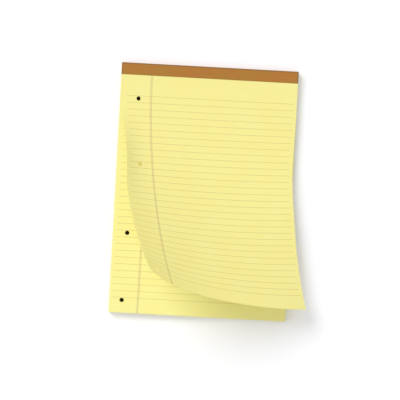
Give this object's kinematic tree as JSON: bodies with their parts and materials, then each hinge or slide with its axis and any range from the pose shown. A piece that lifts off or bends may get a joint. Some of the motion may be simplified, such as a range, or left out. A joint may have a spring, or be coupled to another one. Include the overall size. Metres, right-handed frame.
{
  "type": "legal pad",
  "caption": "Yellow A4 writing pad bound at the head with a folded brown tape and punched down the left side for filing, its top sheet curled up at the lower left corner.",
  "frame": {"origin": "centre of the backing board's underside", "axes": "+X across the sheets to the right, +Y up the sheets to the bound head, +Z out of the writing side"},
  "size_m": [0.2321, 0.2972, 0.1339],
  "materials": {
    "grey_board": "uncoated grey board",
    "yellow_paper": "uncoated writing paper",
    "brown_tape": "grained binding tape",
    "staple_wire": "galvanised wire"
  },
  "bodies": {
    "root": {"backing_board": "grey_board", "page_block": "yellow_paper", "top_sheet": "yellow_paper", "binding_tape": "brown_tape", "binding_staples": "staple_wire"}
  },
  "joints": []
}
